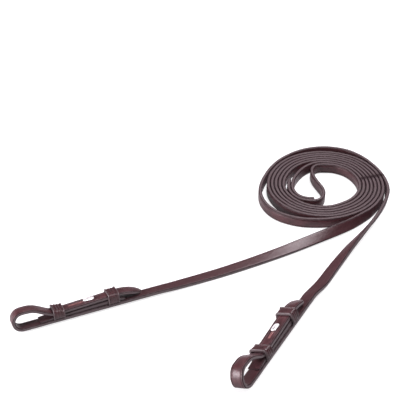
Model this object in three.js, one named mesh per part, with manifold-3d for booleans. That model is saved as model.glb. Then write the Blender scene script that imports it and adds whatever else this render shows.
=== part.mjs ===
// Leather reins: two long flat straps wound together into a flat double coil, their far ends drawn
// out and finished as hook-stud billets, their hand ends lapped and sewn in the middle of the coil.
// Millimetres, +Z up, floor at z = 0. The straps stand on edge in the coil and lie down towards the
// bit ends, which point to -X and -Y. Plan points are measured from the coil's centre; every
// finished piece is then moved so that the whole is centred on the origin.
import * as THREE from 'three';
import { mergeVertices } from 'three/addons/utils/BufferGeometryUtils.js';
import Module from 'manifold-3d';

const { degToRad } = THREE.MathUtils;

// ---- shared dimensions ----
const STRAP_W = 12.0;          // strap width in the coil
const END_W = 12.0;            // strap width at the bit ends
const STRAP_T = 3.8;           // strap thickness
const END_T = 3.2;             // thickness of the skived loop, billet and tip
const GAP = 0.3;               // clearance between neighbouring pieces
const CENTRE = [-123.1224, -115.71325]; // bounding-box centre, from the coil's centre
const STRAP_SAG = 0.08;        // largest stray of a chord from the strap's curve
const THREAD_SAG = 0.04;       // the same for the lap's thread

// ---- bit end, along s from the loop nose, y across and z up ----
const HINGE_S = 141.0;         // bend line of the rein
const REIN_END_S = 42.0;       // loop side of the flat rein end
const LOOP_END = 38.0;         // where the top run of the loop meets the billet
const BILLET_Z0 = 8.6;         // billet centre height at LOOP_END
const BILLET_SLOPE = 0.043;    // rise of the billet towards its tip
const TIP_S = 104.5;           // bend line of the billet tip, just past the tip keeper
const LINING_TOP = 6.5;
const LOOP_KEEPER_S = 42.7;    // keeper centres
const TIP_KEEPER_S = 97.7;
const KEEPER_L = 11.0;         // keeper length along the strap
const KEEPER_UNDERSIDE = 4.05;
const KEEPER_FLOOR = 4.75;     // bottom of the keeper's opening
const STUD_S = 71.5;           // post of the hook stud
const POST_HALF_L = 1.3;       // half the post's length along s

// Each bit end lies rolled about its bottom edge on the +y side. Nose position, heading and roll
// (degrees), fullness of its width and height, where the front of its loop lies along s, and how
// far the loop's foot runs ahead of its top.
const ENDS = {
  left: { nose: [-314.6, -229.2], heading: 23.1, roll: 11, full: 1, front: -2.3, foot: 0.3 },
  right: { nose: [-101.7, -307.1], heading: 60.5, roll: 22, full: 1.12, front: -2.6, foot: 2.2 },
};

// ---- coil: angles in degrees, anticlockwise from +X ----
const PITCH = 4.3;             // spacing of neighbouring layers
const COIL_STEP = 6;           // angle between control points
const COIL_END = 1152;         // angle at which both reins leave the coil

// angle, radius of the coil's first layer
const COIL_RADIUS = [
  [0, 66.8], [30, 69.0], [51, 70.8], [75, 70.6], [90, 69.8], [105, 68.8], [119, 67.9],
  [133, 66.8], [152, 65.8], [170, 66.1], [185, 66.8], [215, 67.2], [244, 66.9], [258, 66.2],
  [274, 65.4], [294, 63.8], [310, 63.9], [325, 64.4], [340, 65.4],
];
// angle, radius of the right rein's outermost turn, which stands off from the tight layers
const STANDOFF = [
  [-10, 71.4], [0, 71.6], [14, 71.9], [33, 73.5], [46, 76.1], [57, 78.4], [66, 79.6],
  [80, 79.4], [90, 77.9], [99, 76.0], [108, 73.7], [119, 70.9], [133, 68.6], [145, 67.3],
  [152, 67.0], [162, 67.2], [170, 68.3], [180, 70.6], [190, 73.2], [203, 75.5], [217, 76.2],
  [227, 74.8], [236, 72.6], [244, 70.6], [258, 66.6], [270, 64.2],
];
const STANDOFF_START = -12;
const STANDOFF_END = 270;
const STANDOFF_LEAN = -7;      // lean at its start, fading to upright
const UPRIGHT_ANGLE = 24;

// ---- plan points: x, y, then lean from upright (degrees, 90 = flat) and width if not the usual
const LEFT_APPROACH = [
  [-142.2, -154.8, 92.5], [-112, -140.9, 89], [-83.3, -126.8, 84], [-47, -107.8, 72],
  [-12.5, -88.6, 52], [9.3, -76.0, 36], [26, -65.0, 22],
];
// where the left rein enters the coil: angle, lean, distance outside its layer
const LEFT_ENTRY = [[-48, 7, 1.1], [-42, 3, 0.5], [-36, 0, 0.15]];
const LEFT_ENTRY_END = -30;
const LEFT_CROSSING = [
  [-0.5, 41.2], [-5.8, 38.8], [-9.3, 34], [-10.6, 27.5], [-10.3, 20], [-8.3, 11.5],
  [-5.2, 3.0], [-2.2, -5.5], [-1.2, -14.0], [-2.9, -21.8], [-7.0, -28.2],
];
const RIGHT_APPROACH = [
  [-16.5, -160.3, -81, 12.2], [-4.5, -140.3, -75], [7.1, -121.7, -65], [17.4, -105.8, -54],
  [27.4, -91.6, -42], [37.3, -77.1, -32], [47.5, -61.7, -23], [56.0, -47.1, -17],
  [64.0, -30.8, -11],
];
const RIGHT_INNER = [
  [5, 46.4], [-4, 45.4], [-12, 41.3], [-19.8, 34.2], [-26.3, 25.2], [-30.6, 17],
];
// mid line of the sewn lap, from the -X side of the coil's hole round to its -Y side
const LAP = [
  [-35.2, 11.0], [-36.9, 2.0], [-37.3, -7.5], [-34.9, -16.4], [-29.6, -23.6],
  [-21.8, -27.6], [-13.0, -28.2],
];
const LAP_GAP = 0.35;          // clearance between the two straps of the lap
const LAP_OFFSET = (STRAP_T + LAP_GAP) / 2;
const LAP_STEPS = 16;

// ---- curves ----
const column = (rows, k) => rows.map((row) => row[k]);
const span = (middle, half) => [middle - half, middle + half];

// smooth cubic through the stations, clamped to their range
function spline(stations, values, at) {
  const last = stations.length - 1;
  const x = Math.min(Math.max(at, stations[0]), stations[last]);
  let i = 0;
  while (i < last - 1 && x > stations[i + 1]) i++;
  const slope = (j) => {
    const before = Math.max(j - 1, 0);
    const after = Math.min(j + 1, last);
    return (values[after] - values[before]) / (stations[after] - stations[before]);
  };
  const gap = stations[i + 1] - stations[i];
  const t = (x - stations[i]) / gap;
  return (2 * t ** 3 - 3 * t ** 2 + 1) * values[i]
    + (t ** 3 - 2 * t ** 2 + t) * slope(i) * gap
    + (-2 * t ** 3 + 3 * t ** 2) * values[i + 1]
    + (t ** 3 - t ** 2) * slope(i + 1) * gap;
}

// the spline of a table of angle and value that repeats every full turn
function turnSpline(table, angle) {
  const shifted = (rows, turn) => rows.map(([station, value]) => [station + turn, value]);
  const start = table[0][0];
  const wrapped = start + ((((angle - start) % 360) + 360) % 360);
  const rows = [...shifted(table.slice(-2), -360), ...table, ...shifted(table.slice(0, 2), 360)];
  return spline(column(rows, 0), column(rows, 1), wrapped);
}

// spline through rows that begin with x, y, run by distance in plan
function planCurve(rows) {
  const distances = [0];
  for (let i = 1; i < rows.length; i++) {
    const chord = Math.hypot(rows[i][0] - rows[i - 1][0], rows[i][1] - rows[i - 1][1]);
    distances.push(distances[i - 1] + chord);
  }
  const length = distances[distances.length - 1];
  const columns = rows[0].map((_, k) => column(rows, k));
  return { length, at: (s) => columns.map((values) => spline(distances, values, s)) };
}

// sample control rows so that chords stray about `sag` from the curve, within the step limits
function sample(rows, sag) {
  const reach = 1.5;           // distance over which the turn is measured
  const minStep = 1.6;
  const maxStep = 9;
  const { length, at } = planCurve(rows);
  const heading = (from, to) => Math.atan2(to[1] - from[1], to[0] - from[0]);
  const points = [at(0)];
  let s = 0;
  while (s < length) {
    // at the start the chord behind has no length, so its heading reads as 0
    const here = at(s);
    const behind = heading(at(Math.max(s - reach, 0)), here);
    const ahead = heading(here, at(Math.min(s + reach, length)));
    const difference = Math.abs(ahead - behind);
    const turn = difference > Math.PI ? 2 * Math.PI - difference : difference;
    const sagStep = Math.sqrt(8 * sag * reach / turn);
    const step = Math.min(maxStep, Math.max(minStep, sagStep));
    s = length - s < step * 1.4 ? length : s + step;
    points.push(at(s));
  }
  return points;
}

// unit normal to the left of the way from one point to another
function leftNormal(from, to) {
  const dx = to[0] - from[0];
  const dy = to[1] - from[1];
  const length = Math.hypot(dx, dy);
  return [-dy / length, dx / length];
}
const normalAt = (points, i) =>
  leftNormal(points[Math.max(i - 1, 0)], points[Math.min(i + 1, points.length - 1)]);

// the lap's mid line moved sideways, positive towards the coil's hole
function lapLine(offset) {
  const { length, at } = planCurve(LAP);
  return Array.from({ length: LAP_STEPS + 1 }, (_, k) => {
    const s = length * k / LAP_STEPS;
    const normal = leftNormal(at(Math.max(s - 0.5, 0)), at(Math.min(s + 0.5, length)));
    return at(s).map((v, axis) => v + normal[axis] * offset);
  });
}

// ---- the reins' control points ----
const polar = (radius, angle) =>
  [radius * Math.cos(degToRad(angle)), radius * Math.sin(degToRad(angle))];

// the two reins alternate, so each moves in by two layers a turn
const coilRadius = (angle, layersOut) =>
  turnSpline(COIL_RADIUS, angle) - PITCH * (2 * angle / 360 - layersOut);

function coilPoints(start, layersOut) {
  const points = [];
  for (let angle = start; angle <= COIL_END; angle += COIL_STEP) {
    points.push(polar(coilRadius(angle, layersOut), angle));
  }
  return points;
}

function endPoint({ nose, heading }, s, y) {
  const cos = Math.cos(degToRad(heading));
  const sin = Math.sin(degToRad(heading));
  return [nose[0] + s * cos - y * sin, nose[1] + s * sin + y * cos];
}

// sideways shift of a rolled strap's centre
function rollShift({ roll, full }) {
  const angle = degToRad(roll);
  return END_W / 2 * (1 - full * Math.cos(angle)) + full * STRAP_T / 2 * Math.sin(angle);
}

const withDefaults = ([x, y, lean = 0, width = STRAP_W]) => [x, y, lean, width];

function leftRein() {
  const end = ENDS.left;
  const shift = rollShift(end);
  return [
    [...endPoint(end, HINGE_S + GAP / 2, shift), 90 + end.roll, END_W],
    [...endPoint(end, 150, shift), 99.6, END_W],
    [...endPoint(end, 160, shift * 0.7), 97, END_W],
    ...LEFT_APPROACH,
    ...LEFT_ENTRY.map(([angle, lean, out]) => [...polar(coilRadius(angle, 0) + out, angle), lean]),
    ...coilPoints(LEFT_ENTRY_END, 0),
    ...LEFT_CROSSING,
    ...lapLine(-LAP_OFFSET).reverse(),
  ].map(withDefaults);
}

function standoffPoints() {
  const points = [];
  for (let angle = STANDOFF_START; angle <= STANDOFF_END; angle += COIL_STEP) {
    const radius = spline(column(STANDOFF, 0), column(STANDOFF, 1), angle);
    const left = Math.max(0, (UPRIGHT_ANGLE - angle) / (UPRIGHT_ANGLE - STANDOFF_START));
    points.push([...polar(radius, angle), STANDOFF_LEAN * left ** 2]);
  }
  return points;
}

function rightRein() {
  const end = ENDS.right;
  const shift = rollShift(end);
  const width = END_W * end.full;
  return [
    [...endPoint(end, HINGE_S + GAP / 2, shift), end.roll - 90, width],
    [...endPoint(end, HINGE_S + 2, shift), end.roll - 90, width],
    [...endPoint(end, 151, -0.2), -70, width - 0.5],
    [...endPoint(end, 160, -1.2), -76, width - 1],
    ...RIGHT_APPROACH,
    ...standoffPoints(),
    ...coilPoints(STANDOFF_END + 2 * COIL_STEP, 1),
    ...RIGHT_INNER,
    ...lapLine(LAP_OFFSET),
  ].map(withDefaults);
}

// ---- solids ----
// four corners of a rectangle about a centre
function section(centre, across, halfWidth, through, halfThickness) {
  return [[1, -1], [1, 1], [-1, 1], [-1, -1]].map(([u, v]) => centre.map((c, k) =>
    c + across[k] * u * halfWidth + through[k] * v * halfThickness));
}

// closed sweep through four-cornered sections
function skin(sections) {
  const index = [];
  for (let i = 0; i < sections.length - 1; i++) {
    for (let k = 0; k < 4; k++) {
      const a = i * 4 + k;
      const b = i * 4 + (k + 1) % 4;
      index.push(a, b, b + 4, a, b + 4, a + 4);
    }
  }
  const m = (sections.length - 1) * 4;
  index.push(3, 2, 1, 3, 1, 0);
  index.push(m, m + 1, m + 2, m, m + 2, m + 3);
  const geometry = new THREE.BufferGeometry();
  geometry.setAttribute('position', new THREE.Float32BufferAttribute(sections.flat(2), 3));
  geometry.setIndex(index);
  return geometry;
}

// strap resting on the floor along a plan curve; a positive lean tips its top to the left
function floorStrap(points) {
  return skin(points.map(([x, y, lean, width], i) => {
    const [nx, ny] = normalAt(points, i);
    const cos = Math.cos(degToRad(lean));
    const sin = Math.sin(degToRad(lean));
    const halfWidth = width / 2;
    const halfThickness = STRAP_T * width / STRAP_W / 2;
    const z = halfWidth * Math.abs(cos) + halfThickness * Math.abs(sin);
    const across = [sin * nx, sin * ny, cos];
    const through = [-cos * nx, -cos * ny, sin];
    return section([x, y, z], across, halfWidth, through, halfThickness);
  }));
}

// skived strap in a bit end's upright plane: rows of s, z, half width
function profileStrap(rows) {
  return skin(rows.map(([s, z, halfWidth = END_W / 2], i) => {
    const [ns, nz] = normalAt(rows, i);
    return section([s, 0, z], [0, -1, 0], halfWidth, [-ns, 0, -nz], END_T / 2);
  }));
}

function box([x0, x1], [y0, y1], [z0, z1]) {
  const geometry = new THREE.BoxGeometry(x1 - x0, y1 - y0, z1 - z0);
  return geometry.translate((x0 + x1) / 2, (y0 + y1) / 2, (z0 + z1) / 2);
}

const manifold = await Module();
manifold.setup();

// positions only, with coincident vertices merged
function clean(geometry) {
  geometry.deleteAttribute('normal');
  geometry.deleteAttribute('uv');
  return mergeVertices(geometry, 1e-4);
}

function toSolid(source) {
  const geometry = clean(source);
  return new manifold.Manifold(new manifold.Mesh({
    numProp: 3,
    vertProperties: new Float32Array(geometry.getAttribute('position').array),
    triVerts: new Uint32Array(geometry.getIndex().array),
  }));
}

function toGeometry(solid) {
  const { vertProperties, triVerts } = solid.getMesh();
  const geometry = new THREE.BufferGeometry();
  geometry.setAttribute('position', new THREE.Float32BufferAttribute(vertProperties, 3));
  geometry.setIndex(Array.from(triVerts));
  return geometry;
}

// ---- pieces ----
// thread along the hole side of the lap, at height z
function lapStitch(z) {
  const points = sample(lapLine(LAP_OFFSET + STRAP_T / 2 + 0.32), THREAD_SAG);
  return skin(points.map(([x, y], i) => {
    const [nx, ny] = normalAt(points, i);
    return section([x, y, z], [0, 0, 1], 0.3, [-nx, -ny, 0], 0.17);
  }));
}

const billetZ = (s) => BILLET_Z0 + (s - LOOP_END) * BILLET_SLOPE;

const reinEnd = () =>
  box([REIN_END_S, HINGE_S - GAP / 2], span(0, END_W / 2), [0, STRAP_T]);

// s, z of the loop's top run, from the nose down to the billet
const LOOP_TOP_RUN = [
  [12.2, 19.15], [15.2, 19.0], [18.6, 18.35], [22, 17.1], [25.4, 15.35], [28.6, 13.4],
  [31.5, 11.6], [34.0, 9.95], [35.7, 9.0], [36.8, 8.65],
];

// bottom run, half round nose, then the top run
function bitLoop({ front, foot }) {
  const radius = 8.8;          // centre-line radius of the nose
  const steps = 14;
  const bottom = END_T / 2;
  const noseS = front + bottom + radius;
  const noseZ = bottom + radius;
  const rows = [[41.7, bottom + 0.35], [23.5, bottom], [noseS + 1.6, bottom], [noseS, bottom]];
  for (let k = 1; k < steps; k++) {
    const angle = -Math.PI / 2 - k / steps * Math.PI;
    const footShift = foot * (1 - Math.sin(angle)) / 2 * Math.min(1, k / 4);
    rows.push([noseS + radius * Math.cos(angle) - footShift, noseZ + radius * Math.sin(angle)]);
  }
  const billetEnd = [LOOP_END - GAP / 2, BILLET_Z0 - 0.01];
  rows.push([noseS, noseZ + radius], ...LOOP_TOP_RUN, billetEnd);
  return profileStrap(rows);
}

// s-z outline extruded across; its underside is notched for the two keepers
function lining() {
  const [start, end] = [24.0, 110.0];
  const underside = 4.1;
  const notchTop = 5.05;
  const notchGap = 0.35;
  const halfWidth = 5.7;
  const bevelLength = 2.5;
  const bevelZ = LINING_TOP - 1.4;
  const notches = [LOOP_KEEPER_S, TIP_KEEPER_S].flatMap((middle) => {
    const [from, to] = span(middle, KEEPER_L / 2 + notchGap);
    return [[from, underside], [from, notchTop], [to, notchTop], [to, underside]];
  });
  const outline = [
    [start, underside], ...notches, [end, underside], [end, bevelZ],
    [end - bevelLength, LINING_TOP], [start + bevelLength, LINING_TOP], [start, bevelZ],
  ];
  const shape = new THREE.Shape(outline.map(([s, z]) => new THREE.Vector2(s, z)));
  const geometry = new THREE.ExtrudeGeometry(shape, { depth: 2 * halfWidth, bevelEnabled: false });
  return geometry.rotateX(Math.PI / 2).translate(0, halfWidth, 0);
}

// rounded band round the lining and billet
function keeper(middle) {
  const thickness = 1.8;
  const outerR = 2.2;
  const innerR = 0.9;
  const bevel = 0.5;           // on the bottom edges
  const innerY = 6.4;
  const outerY = innerY + thickness;
  const [start, end] = span(middle, KEEPER_L / 2);
  const innerTop = billetZ(end) + END_T / 2 + 0.33;
  const outerTop = innerTop + thickness;

  const band = new THREE.Shape();
  band.moveTo(-outerY, KEEPER_UNDERSIDE + bevel);
  band.lineTo(-outerY + bevel, KEEPER_UNDERSIDE);
  band.lineTo(outerY - bevel, KEEPER_UNDERSIDE);
  band.lineTo(outerY, KEEPER_UNDERSIDE + bevel);
  band.lineTo(outerY, outerTop - outerR);
  band.absarc(outerY - outerR, outerTop - outerR, outerR, 0, Math.PI / 2, false);
  band.lineTo(-outerY + outerR, outerTop);
  band.absarc(-outerY + outerR, outerTop - outerR, outerR, Math.PI / 2, Math.PI, false);
  band.lineTo(-outerY, KEEPER_UNDERSIDE + bevel);

  const opening = new THREE.Path();
  opening.moveTo(-innerY, KEEPER_FLOOR);
  opening.lineTo(-innerY, innerTop - innerR);
  opening.absarc(-innerY + innerR, innerTop - innerR, innerR, Math.PI, Math.PI / 2, true);
  opening.lineTo(innerY - innerR, innerTop);
  opening.absarc(innerY - innerR, innerTop - innerR, innerR, Math.PI / 2, 0, true);
  opening.lineTo(innerY, KEEPER_FLOOR);
  opening.lineTo(-innerY, KEEPER_FLOOR);
  band.holes.push(opening);

  const options = { depth: end - start, bevelEnabled: false, curveSegments: 5 };
  // extrusion axis to s, shape x to y, shape y to z
  return new THREE.ExtrudeGeometry(band, options).applyMatrix4(
    new THREE.Matrix4().set(0, 0, 1, start, 1, 0, 0, 0, 0, 1, 0, 0, 0, 0, 0, 1));
}

// the loop keeper stands taller at its loop side
function loopKeeper() {
  const rise = 1.7;
  const riseHeight = 7.7;      // height above the keeper's floor that gets the full rise
  const end = LOOP_KEEPER_S + KEEPER_L / 2;
  const geometry = keeper(LOOP_KEEPER_S);
  const position = geometry.getAttribute('position');
  for (let i = 0; i < position.count; i++) {
    const z = position.getZ(i);
    const along = (end - position.getX(i)) / KEEPER_L;
    position.setZ(i, z + rise * along * Math.max(0, z - KEEPER_FLOOR) / riseHeight);
  }
  return geometry;
}

// base on the lining, post through the billet's slot, hook plate over the billet
function hookStud() {
  const plateR = 2.45;
  const plateStart = STUD_S - 2.8;
  const plateEnd = STUD_S + 8.2;
  const outline = new THREE.Shape();
  outline.absarc(plateEnd - plateR, 0, plateR, -Math.PI / 2, Math.PI / 2, false);
  outline.absarc(plateStart + plateR, 0, plateR, Math.PI / 2, Math.PI * 1.5, false);
  const options = { depth: 1.4, bevelEnabled: false, curveSegments: 8 };
  const plate = new THREE.ExtrudeGeometry(outline, options);
  plate.translate(0, 0, billetZ(plateEnd) + END_T / 2 + GAP);
  const base = box([STUD_S - 5.5, STUD_S + 8.5], span(0, 3.2),
    [LINING_TOP + 0.25, LINING_TOP + 0.95]);
  const post = box(span(STUD_S, POST_HALF_L), span(0, 1.1), [LINING_TOP + 0.6, 13.2]);
  return toGeometry(toSolid(base).add(toSolid(post)).add(toSolid(plate)));
}

// straight row of thread on the lining
const liningStitch = (y) =>
  box([50.0, 89.0], span(y, 0.3), [LINING_TOP + 0.18, LINING_TOP + 0.5]);

// straight strap with a slot for the stud's post
function billet() {
  const slide = 8.0;           // travel of the billet when it is unhooked
  const rows = [LOOP_END + GAP / 2, TIP_S - GAP / 2].map((s) => [s, billetZ(s)]);
  const slot = box([STUD_S - POST_HALF_L - slide - GAP, STUD_S + POST_HALF_L + GAP],
    span(0, 1.5), [0, 20]);
  return toGeometry(toSolid(profileStrap(rows)).subtract(toSolid(slot)));
}

// runs on from the billet, bows down a little and narrows to a rounded point
function billetTip() {
  const steps = 12;
  const drop = 5.0;
  const taperFrom = 0.55;      // share of the length that keeps full width
  const start = TIP_S + GAP / 2;
  const length = 22.5 - GAP / 2;
  const rows = [];
  for (let k = 0; k <= steps; k++) {
    const u = k / steps;
    const z = billetZ(start) + BILLET_SLOPE * length * u * (1 - u) - drop * u * u;
    const taper = Math.max(0, (u - taperFrom) / (1 - taperFrom));
    const halfWidth = END_W / 2 * Math.sqrt(Math.max(0.05, 1 - 0.95 * taper ** 2.4));
    rows.push([start + length * u, z, halfWidth]);
  }
  return profileStrap(rows);
}

// ---- assembly ----
const LEATHER = { color: 0x3a2224, roughness: 0.55, metalness: 0 };
const THREAD = { color: 0x2a1a1a, roughness: 0.55, metalness: 0 };
const STEEL = { color: 0xc8c8cc, roughness: 0.25, metalness: 1 };

const group = new THREE.Group();
group.name = 'leather_reins';

function add(name, source, finish) {
  const geometry = clean(source);
  geometry.computeVertexNormals();
  geometry.translate(-CENTRE[0], -CENTRE[1], 0);
  const material = new THREE.MeshStandardMaterial({ name, ...finish, flatShading: true });
  const mesh = new THREE.Mesh(geometry, material);
  mesh.name = name;
  group.add(mesh);
}

// from a bit end's own axes: fullness, roll about the +y edge, heading, then nose
function endMatrix({ nose, heading, roll, full }) {
  const shiftY = (y) => new THREE.Matrix4().makeTranslation(0, y, 0);
  return new THREE.Matrix4().makeRotationZ(degToRad(heading)).setPosition(nose[0], nose[1], 0)
    .multiply(shiftY(END_W / 2))
    .multiply(new THREE.Matrix4().makeRotationX(-degToRad(roll)))
    .multiply(new THREE.Matrix4().makeScale(1, full, full))
    .multiply(shiftY(-END_W / 2));
}

add('left_rein', floorStrap(sample(leftRein(), STRAP_SAG)), LEATHER);
add('right_rein', floorStrap(sample(rightRein(), STRAP_SAG)), LEATHER);
add('lap_stitch_lower', lapStitch(3.0), THREAD);
add('lap_stitch_upper', lapStitch(9.0), THREAD);

for (const [side, end] of Object.entries(ENDS)) {
  const matrix = endMatrix(end);
  const pieces = [
    ['rein_end', reinEnd(), LEATHER],
    ['bit_loop', bitLoop(end), LEATHER],
    ['lining', lining(), LEATHER],
    ['loop_keeper', loopKeeper(), LEATHER],
    ['tip_keeper', keeper(TIP_KEEPER_S), LEATHER],
    ['hook_stud', hookStud(), STEEL],
    ['stitch_inner', liningStitch(4.6), THREAD],
    ['stitch_outer', liningStitch(-4.6), THREAD],
    ['billet', billet(), LEATHER],
    ['billet_tip', billetTip(), LEATHER],
  ];
  for (const [name, geometry, finish] of pieces) {
    add(`${side}_${name}`, geometry.applyMatrix4(matrix), finish);
  }
}

export default group;
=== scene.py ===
"""A pair of leather reins wound together into a flat coil that stands on its strap edges.

Sizes are in millimetres and become metres in the meshes. The floor is at z = 0, +x is right and
+y is back, away from the camera. Plan points are measured from the centre of the coil and shifted
by ORIGIN. The two bit ends lie in front of the coil with their noses to the front left. Each has
its own frame: s runs from the nose towards the coil, y across the strap from its middle, z up.
"""
import math

import bpy
import numpy as np
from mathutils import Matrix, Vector


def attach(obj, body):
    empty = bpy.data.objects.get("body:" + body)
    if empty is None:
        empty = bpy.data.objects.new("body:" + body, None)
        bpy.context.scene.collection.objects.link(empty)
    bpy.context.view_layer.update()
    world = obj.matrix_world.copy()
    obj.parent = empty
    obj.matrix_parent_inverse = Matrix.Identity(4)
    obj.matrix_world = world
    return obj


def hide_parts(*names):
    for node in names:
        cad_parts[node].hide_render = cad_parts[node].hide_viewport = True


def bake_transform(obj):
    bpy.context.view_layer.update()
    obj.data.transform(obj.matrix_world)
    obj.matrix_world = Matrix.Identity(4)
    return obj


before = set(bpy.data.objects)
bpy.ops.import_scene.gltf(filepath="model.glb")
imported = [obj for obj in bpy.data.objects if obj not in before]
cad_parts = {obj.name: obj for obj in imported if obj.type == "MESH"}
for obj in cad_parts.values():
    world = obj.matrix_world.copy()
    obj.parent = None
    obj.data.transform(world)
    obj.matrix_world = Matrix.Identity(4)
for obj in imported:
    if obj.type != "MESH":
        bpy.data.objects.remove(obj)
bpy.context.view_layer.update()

# ------------------------------------------------------------------ dimensions
ORIGIN = np.array((-123.1224, -115.71325))
STRAP_W, STRAP_T = 12.0, 3.8           # rein width and thickness
END_W, END_T = 12.0, 3.2               # bit end width, thickness of loop and billet
GAP, LAP_GAP = 0.3, 0.35               # clearance between parts, and between the lapped straps
PITCH = 4.3                            # spacing of neighbouring layers in the coil
HINGE_S, JOIN_S = 141.0, 44.0          # straight end stops; rein and loop strap meet
LOOP_R = 8.8                           # centre line radius of the loop's bend
BILLET_START, BILLET_Z0, BILLET_SLOPE = 38.0, 8.6, 0.043
TIP_S, TIP_LEN = 104.5, 22.5
STUD_S = 71.5
LINING_START, LINING_END, LINING_HALF = 24.0, 110.0, 5.7
LINING_Z = STRAP_T + GAP
KEEPER_L, KEEPER_T, KEEPER_HALF = 11.0, 1.8, 6.4
KEEPER_BOTTOM, KEEPER_RISE = 4.75, 1.7
KEEPER_S = {"loop": 42.7, "tip": 97.7}
LAP_OFFSET = (STRAP_T + LAP_GAP) / 2
UV_MM = 100                            # millimetres in one UV unit

# nose: plan place; angle, roll: degrees; scale: size of the section; bend_front: s of the loop's
# outer face; foot: how far the bottom of the bend leans out past that; slit: length of the slit
ENDS = {
    "left": dict(nose=(-314.6, -229.2), angle=23.1, roll=11.0, scale=1.0,
                 bend_front=-2.3, foot=0.3, slit=17.5),
    "right": dict(nose=(-101.7, -307.1), angle=60.5, roll=22.0, scale=1.12,
                  bend_front=-2.6, foot=2.2, slit=12.0),
}
# outline of the coil: degrees, radius; repeats every turn
COIL = np.array([
    (0, 66.8), (30, 69.0), (51, 70.8), (75, 70.6), (90, 69.8), (105, 68.8), (119, 67.9),
    (133, 66.8), (152, 65.8), (170, 66.1), (185, 66.8), (215, 67.2), (244, 66.9), (258, 66.2),
    (274, 65.4), (294, 63.8), (310, 63.9), (325, 64.4), (340, 65.4)])
# first turn of the right rein, standing off the coil: degrees, radius
STANDOFF = np.array([
    (-10, 71.4), (0, 71.6), (14, 71.9), (33, 73.5), (46, 76.1), (57, 78.4), (66, 79.6), (80, 79.4),
    (90, 77.9), (99, 76.0), (108, 73.7), (119, 70.9), (133, 68.6), (145, 67.3), (152, 67.0),
    (162, 67.2), (170, 68.3), (180, 70.6), (190, 73.2), (203, 75.5), (217, 76.2), (227, 74.8),
    (236, 72.6), (244, 70.6), (258, 66.6), (270, 64.2)])
# joint between the two lapped straps inside the coil: x, y
LAP = [(-35.2, 11.0), (-36.9, 2.0), (-37.3, -7.5), (-34.9, -16.4), (-29.6, -23.6), (-21.8, -27.6),
       (-13.0, -28.2)]
# rein stations between bit end and coil: x, y, lean in degrees, width
LEFT_APPROACH = [
    (-142.2, -154.8, 92.5, 12), (-112, -140.9, 89, 12), (-83.3, -126.8, 84, 12),
    (-47, -107.8, 72, 12), (-12.5, -88.6, 52, 12), (9.3, -76.0, 36, 12), (26, -65.0, 22, 12)]
RIGHT_APPROACH = [
    (-16.5, -160.3, -81, 12.2), (-4.5, -140.3, -75, 12), (7.1, -121.7, -65, 12),
    (17.4, -105.8, -54, 12), (27.4, -91.6, -42, 12), (37.3, -77.1, -32, 12),
    (47.5, -61.7, -23, 12), (56.0, -47.1, -17, 12), (64.0, -30.8, -11, 12)]
# upright run from the innermost turn to the lap: x, y
LEFT_TAIL = [(-0.5, 41.2), (-5.8, 38.8), (-9.3, 34), (-10.6, 27.5), (-10.3, 20), (-8.3, 11.5),
             (-5.2, 3.0), (-2.2, -5.5), (-1.2, -14.0), (-2.9, -21.8), (-7.0, -28.2)]
RIGHT_TAIL = [(5, 46.4), (-4, 45.4), (-12, 41.3), (-19.8, 34.2), (-26.3, 25.2), (-30.6, 17)]


# ------------------------------------------------------------------ curves
def unit(v):
    return v / np.linalg.norm(v, axis=-1, keepdims=True)


def hermite(knots, values, at):
    """Smooth curve through rows of values at the knots, held at its ends."""
    at = np.clip(at, knots[0], knots[-1])
    slope = np.empty_like(values)
    slope[0] = (values[1] - values[0]) / (knots[1] - knots[0])
    slope[-1] = (values[-1] - values[-2]) / (knots[-1] - knots[-2])
    slope[1:-1] = (values[2:] - values[:-2]) / (knots[2:] - knots[:-2])[:, None]
    i = np.clip(np.searchsorted(knots, at, side="left") - 1, 0, len(knots) - 2)
    span = (knots[i + 1] - knots[i])[:, None]
    t = (at - knots[i])[:, None] / span
    return ((2 * t ** 3 - 3 * t ** 2 + 1) * values[i]
            + (t ** 3 - 2 * t ** 2 + t) * slope[i] * span
            + (-2 * t ** 3 + 3 * t ** 2) * values[i + 1]
            + (t ** 3 - t ** 2) * slope[i + 1] * span)


def spline(rows, step):
    """Even samples of a list of stations, and the arc length of each."""
    rows = np.array(rows, float)
    lengths = [0.0]
    for i in range(1, len(rows)):
        lengths.append(lengths[-1] + float(np.linalg.norm(rows[i, :2] - rows[i - 1, :2])))
    count = max(2, int(round(lengths[-1] / step)))
    arc = np.linspace(0, lengths[-1], count + 1)
    return hermite(np.array(lengths), rows, arc), arc


def radius_at(table, degrees):
    return float(hermite(table[:, 0], table[:, 1:], np.array([degrees], float))[0, 0])


def coil_radius(degrees):
    wrapped = np.vstack([COIL[-2:] - (360, 0), COIL, COIL[:2] + (360, 0)])
    return radius_at(wrapped, degrees % 360)


def polar(radius, degrees):
    angle = math.radians(degrees)
    return radius * math.cos(angle), radius * math.sin(angle)


# ------------------------------------------------------------------ frames of the bit ends
def end_point(side, s, y):
    """Plan point beside the nose line of a bit end."""
    end = ENDS[side]
    a = math.radians(end["angle"])
    return (end["nose"][0] + s * math.cos(a) - y * math.sin(a),
            end["nose"][1] + s * math.sin(a) + y * math.cos(a))


def rolled_middle(side):
    """Plan offset of the strap's middle once the end is rolled about its +y edge."""
    end = ENDS[side]
    roll, scale = math.radians(end["roll"]), end["scale"]
    return END_W / 2 * (1 - scale * math.cos(roll)) + scale * STRAP_T / 2 * math.sin(roll)


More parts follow.
